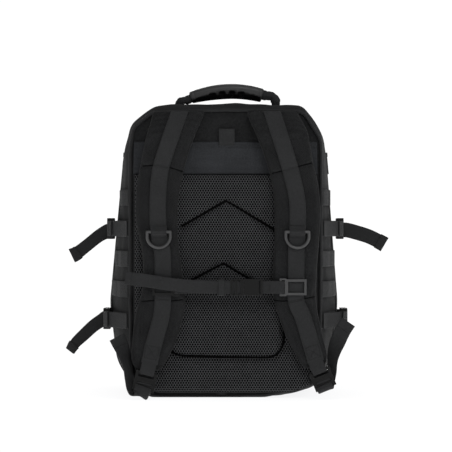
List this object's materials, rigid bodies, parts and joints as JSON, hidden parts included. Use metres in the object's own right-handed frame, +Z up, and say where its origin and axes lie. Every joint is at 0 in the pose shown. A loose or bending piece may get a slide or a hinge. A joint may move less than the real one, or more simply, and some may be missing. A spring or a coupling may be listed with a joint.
{
  "type": "trauma backpack",
  "caption": "Black clamshell trauma backpack with padded mesh back, contoured shoulder straps, sternum strap, carry handle, side webbing rows and compression straps.",
  "frame": {"origin": "on the floor plane, under the middle of the rear half's base", "axes": "+Z up, -Y towards the wearer's back (shoulder-strap side), +Y towards the front pockets, +X to the right when looking at the back pad"},
  "size_m": [0.5212, 0.287, 0.4872],
  "materials": {
    "pack_fabric": "woven",
    "band_fabric": "woven",
    "air_mesh": "open mesh over foam",
    "lining": "woven",
    "webbing": "ribbed weave",
    "loop_pile": "looped pile",
    "zip_tape": "coil zip",
    "hardware": "moulded, matt",
    "frame_board": "smooth sheet",
    "grip_rubber": "moulded, satin",
    "zip_metal": "black painted"
  },
  "bodies": {
    "rear_half": {"rear_shell": "pack_fabric", "frame_sheet": "frame_board", "hydration_sleeve": "lining", "back_pad": "air_mesh", "pocket_band": "band_fabric", "pull_tab": "webbing", "edge_piping": "webbing", "main_zip_rear": "zip_tape", "base_hinge_strip": "pack_fabric", "side_molle": "webbing", "compression_webbing_rear": "webbing", "compression_females": "hardware", "lower_webbing": "webbing", "lower_anchor_tabs": "pack_fabric", "padded_dividers": "lining", "handle_feet": "webbing"},
    "front_half": {"front_shell": "pack_fabric", "main_zip_front": "zip_tape", "compression_webbing_front": "webbing", "organizer_panel": "lining", "organizer_zip": "zip_tape", "inner_mesh_pocket": "air_mesh"},
    "organizer_door": {"door_shell": "pack_fabric", "pocket_zips": "zip_tape"},
    "upper_pocket": {"upper_pocket_cover": "pack_fabric", "upper_loop_panel": "loop_pile"},
    "lower_pocket": {"lower_pocket_cover": "pack_fabric", "lower_pocket_molle": "webbing"},
    "handle": {"handle_grip": "grip_rubber", "handle_webbing": "webbing"},
    "strap_left": {"shoulder_pad_left": "air_mesh", "strap_webbing_left": "webbing", "strap_tail_left": "webbing"},
    "strap_right": {"shoulder_pad_right": "air_mesh", "strap_webbing_right": "webbing", "strap_tail_right": "webbing"},
    "ring_left": {"d_ring_left": "hardware"},
    "ring_right": {"d_ring_right": "hardware"},
    "adjuster_left": {"ladder_lock_left": "hardware"},
    "adjuster_right": {"ladder_lock_right": "hardware"},
    "sternum_left": {"sternum_slider_left": "hardware", "sternum_webbing_left": "webbing"},
    "sternum_right": {"sternum_slider_right": "hardware", "sternum_webbing_right": "webbing", "sternum_buckle_female": "hardware"},
    "sternum_male": {"sternum_buckle_male": "hardware"},
    "clip_upper_left": {"compression_male_upper_left": "hardware"},
    "clip_upper_right": {"compression_male_upper_right": "hardware"},
    "clip_lower_left": {"compression_male_lower_left": "hardware"},
    "clip_lower_right": {"compression_male_lower_right": "hardware"},
    "slider_main_left": {"zip_slider_main_left": "zip_metal"},
    "puller_main_left": {"zip_pull_main_left": "grip_rubber"},
    "slider_main_right": {"zip_slider_main_right": "zip_metal"},
    "puller_main_right": {"zip_pull_main_right": "grip_rubber"},
    "slider_organizer": {"zip_slider_organizer": "zip_metal"},
    "puller_organizer": {"zip_pull_organizer": "grip_rubber"},
    "slider_upper_pocket": {"zip_slider_upper_pocket": "zip_metal"},
    "puller_upper_pocket": {"zip_pull_upper_pocket": "grip_rubber"},
    "slider_lower_pocket": {"zip_slider_lower_pocket": "zip_metal"},
    "puller_lower_pocket": {"zip_pull_lower_pocket": "grip_rubber"}
  },
  "joints": [
    {"name": "main_opening", "type": "hinge", "parent": "rear_half", "child": "front_half", "pos_m": [0, 0.048, 0], "axis": [-1, 0, 0], "range_deg": [0, 110]},
    {"name": "organizer_opening", "type": "hinge", "parent": "front_half", "child": "organizer_door", "pos_m": [0, 0.108, 0], "axis": [-1, 0, 0], "range_deg": [0, 90]},
    {"name": "upper_pocket_opening", "type": "hinge", "parent": "organizer_door", "child": "upper_pocket", "pos_m": [0, 0.1552, 0.24], "axis": [-1, 0, 0], "range_deg": [0, 70]},
    {"name": "lower_pocket_opening", "type": "hinge", "parent": "organizer_door", "child": "lower_pocket", "pos_m": [0, 0.1552, 0.026], "axis": [-1, 0, 0], "range_deg": [0, 70]},
    {"name": "handle_fold", "type": "hinge", "parent": "rear_half", "child": "handle", "pos_m": [0, 0.005, 0.457], "axis": [1, 0, 0], "range_deg": [-45, 45]},
    {"name": "strap_left_swing", "type": "hinge", "parent": "rear_half", "child": "strap_left", "pos_m": [-0.07, -0.049, 0.43], "axis": [-1, 0, 0], "range_deg": [0, 12], "deforming": ["lower_webbing"]},
    {"name": "strap_right_swing", "type": "hinge", "parent": "rear_half", "child": "strap_right", "pos_m": [0.07, -0.049, 0.43], "axis": [-1, 0, 0], "range_deg": [0, 12], "deforming": ["lower_webbing"]},
    {"name": "ring_left_swing", "type": "hinge", "parent": "strap_left", "child": "ring_left", "pos_m": [-0.101, -0.0834, 0.254], "axis": [-1, 0, 0], "range_deg": [0, 150]},
    {"name": "ring_right_swing", "type": "hinge", "parent": "strap_right", "child": "ring_right", "pos_m": [0.1093, -0.0834, 0.254], "axis": [-1, 0, 0], "range_deg": [0, 150]},
    {"name": "adjuster_left_tilt", "type": "hinge", "parent": "strap_left", "child": "adjuster_left", "pos_m": [-0.11898, -0.0786, 0.03967], "axis": [-0.9744, 0, 0.225], "range_deg": [0, 35], "deforming": ["strap_tail_left"]},
    {"name": "adjuster_right_tilt", "type": "hinge", "parent": "strap_right", "child": "adjuster_right", "pos_m": [0.14293, -0.0786, 0.04255], "axis": [-0.9272, 0, -0.3746], "range_deg": [0, 35], "deforming": ["strap_tail_right"]},
    {"name": "sternum_height_left", "type": "slide", "parent": "strap_left", "child": "sternum_left", "axis": [0, 0, 1], "range_m": [0, 0.035]},
    {"name": "sternum_height_right", "type": "slide", "parent": "strap_right", "child": "sternum_right", "axis": [0, 0, 1], "range_m": [0, 0.035]},
    {"name": "sternum_release", "type": "slide", "parent": "sternum_left", "child": "sternum_male", "axis": [-1, 0, 0], "range_m": [0, 0.03]},
    {"name": "clip_upper_left_release", "type": "slide", "parent": "front_half", "child": "clip_upper_left", "axis": [0, 1, 0], "range_m": [0, 0.022]},
    {"name": "clip_upper_right_release", "type": "slide", "parent": "front_half", "child": "clip_upper_right", "axis": [0, 1, 0], "range_m": [0, 0.022]},
    {"name": "clip_lower_left_release", "type": "slide", "parent": "front_half", "child": "clip_lower_left", "axis": [0, 1, 0], "range_m": [0, 0.022]},
    {"name": "clip_lower_right_release", "type": "slide", "parent": "front_half", "child": "clip_lower_right", "axis": [0, 1, 0], "range_m": [0, 0.022]},
    {"name": "slider_main_left_run", "type": "slide", "parent": "rear_half", "child": "slider_main_left", "axis": [-0.0894, 0, -0.996], "range_m": [0, 0.2]},
    {"name": "puller_main_left_lift", "type": "hinge", "parent": "slider_main_left", "child": "puller_main_left", "pos_m": [-0.16049, 0.048, 0.37633], "axis": [0, 1, 0], "range_deg": [0, 150]},
    {"name": "slider_main_right_run", "type": "slide", "parent": "rear_half", "child": "slider_main_right", "axis": [0.0894, 0, -0.996], "range_m": [0, 0.2]},
    {"name": "puller_main_right_lift", "type": "hinge", "parent": "slider_main_right", "child": "puller_main_right", "pos_m": [0.16049, 0.048, 0.37633], "axis": [0, -1, 0], "range_deg": [0, 150]},
    {"name": "slider_organizer_run", "type": "slide", "parent": "front_half", "child": "slider_organizer", "axis": [-0.0854, 0, -0.9963], "range_m": [0, 0.2]},
    {"name": "puller_organizer_lift", "type": "hinge", "parent": "slider_organizer", "child": "puller_organizer", "pos_m": [-0.1568, 0.108, 0.37232], "axis": [0, 1, 0], "range_deg": [0, 150]},
    {"name": "slider_upper_pocket_run", "type": "slide", "parent": "organizer_door", "child": "slider_upper_pocket", "axis": [1, 0, 0], "range_m": [0, 0.12]},
    {"name": "puller_upper_pocket_lift", "type": "hinge", "parent": "slider_upper_pocket", "child": "puller_upper_pocket", "pos_m": [-0.062, 0.1552, 0.3957], "axis": [0, -1, 0], "range_deg": [0, 150]},
    {"name": "slider_lower_pocket_run", "type": "slide", "parent": "organizer_door", "child": "slider_lower_pocket", "axis": [1, 0, 0], "range_m": [0, 0.15]},
    {"name": "puller_lower_pocket_lift", "type": "hinge", "parent": "slider_lower_pocket", "child": "puller_lower_pocket", "pos_m": [-0.078, 0.1552, 0.2037], "axis": [0, -1, 0], "range_deg": [0, 150]}
  ],
  "couplings": [
    {"joint": "strap_right_swing", "follows": "strap_left_swing", "ratio": 1},
    {"joint": "sternum_height_right", "follows": "sternum_height_left", "ratio": 1}
  ]
}
